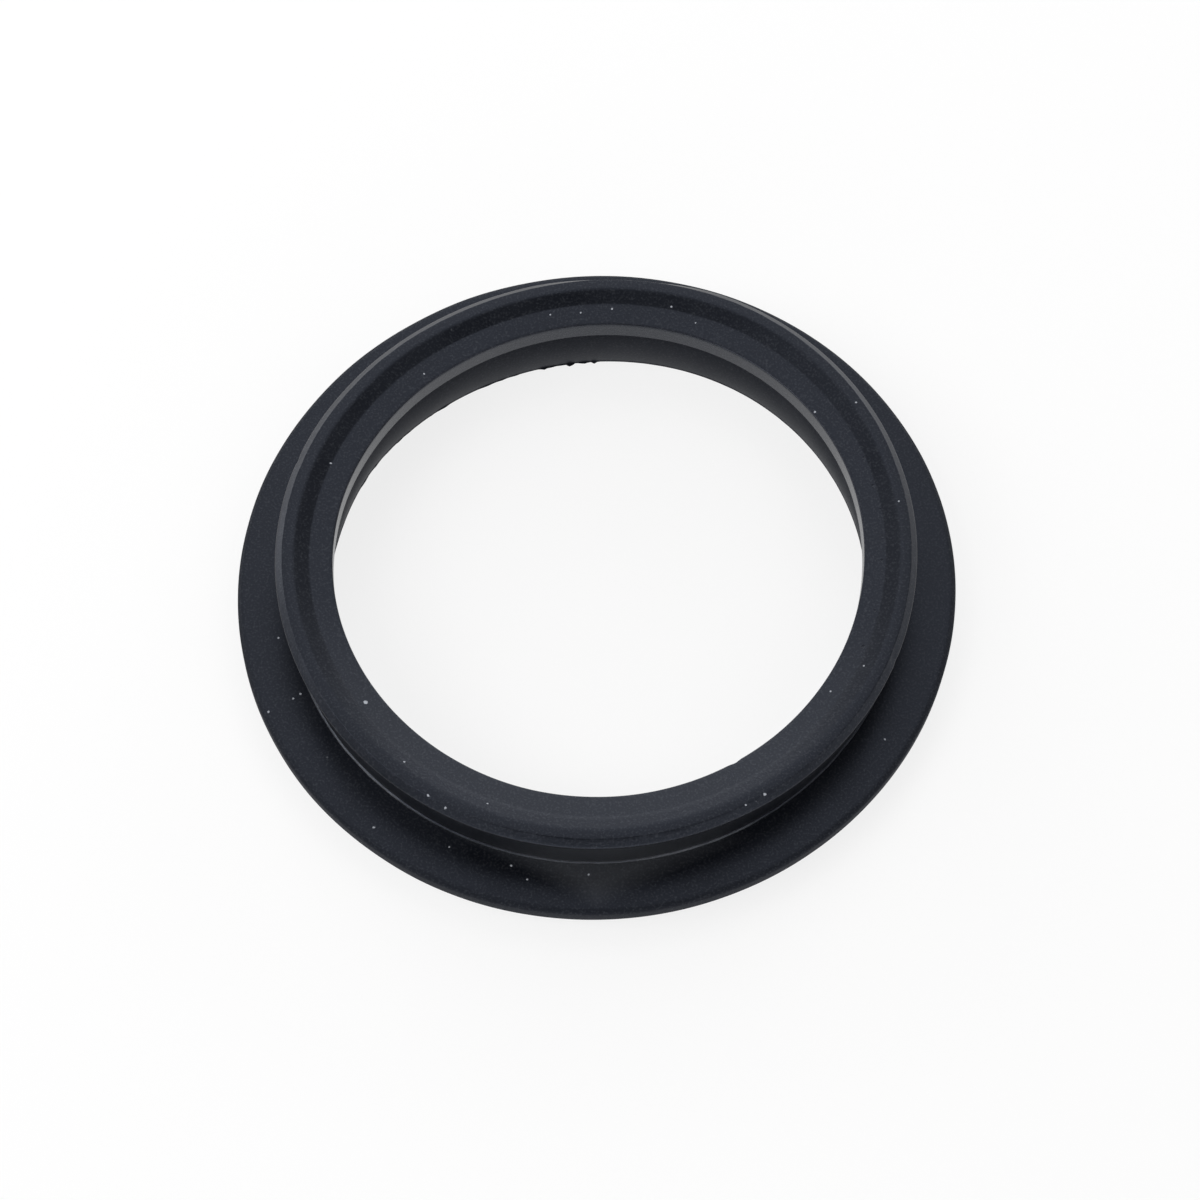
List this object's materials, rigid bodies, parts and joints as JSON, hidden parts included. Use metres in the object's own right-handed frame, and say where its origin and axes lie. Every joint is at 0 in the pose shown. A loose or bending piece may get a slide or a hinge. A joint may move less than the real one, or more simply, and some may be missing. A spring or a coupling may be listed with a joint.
{
  "type": "sealing ring",
  "caption": "Moulded rubber sealing ring: a beaded collar on a flat flange, a short sealing lip round its bore, and a plain skirt with a flared mouth below.",
  "frame": {"origin": "on the ring's axis, in the plane that the skirt rests on", "axes": "+Z along the ring's axis, up through the flange and the collar"},
  "size_m": [0.09, 0.09, 0.0133],
  "materials": {
    "rubber": "satin moulded black rubber with a fine grain"
  },
  "bodies": {
    "root": {"sealing_ring": "rubber"}
  },
  "joints": []
}
